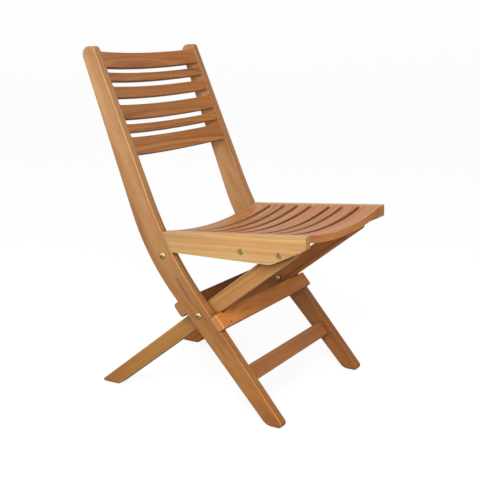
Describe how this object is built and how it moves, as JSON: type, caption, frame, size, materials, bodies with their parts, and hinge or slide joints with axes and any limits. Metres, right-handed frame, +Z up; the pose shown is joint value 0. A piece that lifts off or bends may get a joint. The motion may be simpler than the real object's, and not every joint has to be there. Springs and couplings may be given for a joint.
{
  "type": "folding chair",
  "caption": "Wooden folding chair with a dished slatted seat and back. The rear legs cross the bent stiles and the seat swings up between them.",
  "frame": {"origin": "on the floor under the middle of the chair's box", "axes": "+Z up, the sitter faces -Y, +X is the sitter's left"},
  "size_m": [0.4684, 0.6173, 0.868],
  "materials": {
    "teak_board": "oiled teak, satin, straight grain along the board",
    "teak_rail": "oiled teak, satin, a little redder and darker",
    "teak_slat": "oiled teak, satin, finely ridged face",
    "brass": "polished brass, slightly dulled",
    "steel": "zinc-plated steel, dull"
  },
  "bodies": {
    "back_frame": {"stile_left": "teak_board", "stile_right": "teak_board", "back_slat_1": "teak_slat", "back_slat_2": "teak_slat", "back_slat_3": "teak_slat", "back_slat_4": "teak_slat", "back_slat_5": "teak_slat", "back_slat_6": "teak_slat", "front_cross_rail": "teak_rail", "rear_cross_rail": "teak_rail", "lower_stretcher": "teak_rail", "cross_bolt_left": "brass", "cross_bolt_right": "brass", "cross_nut_left": "brass", "cross_nut_right": "brass", "cross_spacer_left": "steel", "cross_spacer_right": "steel", "link_bolt_left": "brass", "link_bolt_right": "brass", "link_nut_left": "brass", "link_nut_right": "brass"},
    "rear_legs": {"rear_leg_left": "teak_board", "rear_leg_right": "teak_board"},
    "seat": {"seat_slat_1": "teak_slat", "seat_slat_2": "teak_slat", "seat_slat_3": "teak_slat", "seat_slat_4": "teak_slat", "seat_slat_5": "teak_slat", "seat_slat_6": "teak_slat", "seat_slat_7": "teak_slat", "seat_slat_8": "teak_slat", "seat_rail_left": "teak_board", "seat_rail_right": "teak_board", "rail_link_nut_left": "brass", "rail_link_nut_right": "brass", "leg_pivot_nut_left": "brass", "leg_pivot_nut_right": "brass", "leg_pivot_bolt_left": "brass", "leg_pivot_bolt_right": "brass", "leg_spacer_left": "steel", "leg_spacer_right": "steel"},
    "link_left": {"link_left": "steel", "link_screw_left": "brass"},
    "link_right": {"link_right": "steel", "link_screw_right": "brass"}
  },
  "joints": [
    {"name": "leg_fold", "type": "hinge", "parent": "back_frame", "child": "rear_legs", "pos_m": [0, -0.0252, 0.2352], "axis": [-1, 0, 0], "range_deg": [0, 70]},
    {"name": "seat_fold", "type": "hinge", "parent": "rear_legs", "child": "seat", "pos_m": [0, -0.24151, 0.41046], "axis": [1, 0, 0], "range_deg": [0, 138.65]},
    {"name": "link_left_swing", "type": "hinge", "parent": "back_frame", "child": "link_left", "pos_m": [0.20375, 0.0768, 0.37], "axis": [-1, 0, 0], "range_deg": [0, 87.24]},
    {"name": "link_right_swing", "type": "hinge", "parent": "back_frame", "child": "link_right", "pos_m": [-0.20375, 0.0768, 0.37], "axis": [-1, 0, 0], "range_deg": [0, 87.24]}
  ],
  "couplings": [
    {"joint": "seat_fold", "follows": "leg_fold", "ratio": 1.9804},
    {"joint": "link_left_swing", "follows": "leg_fold", "ratio": 1.2461},
    {"joint": "link_right_swing", "follows": "leg_fold", "ratio": 1.2461}
  ]
}
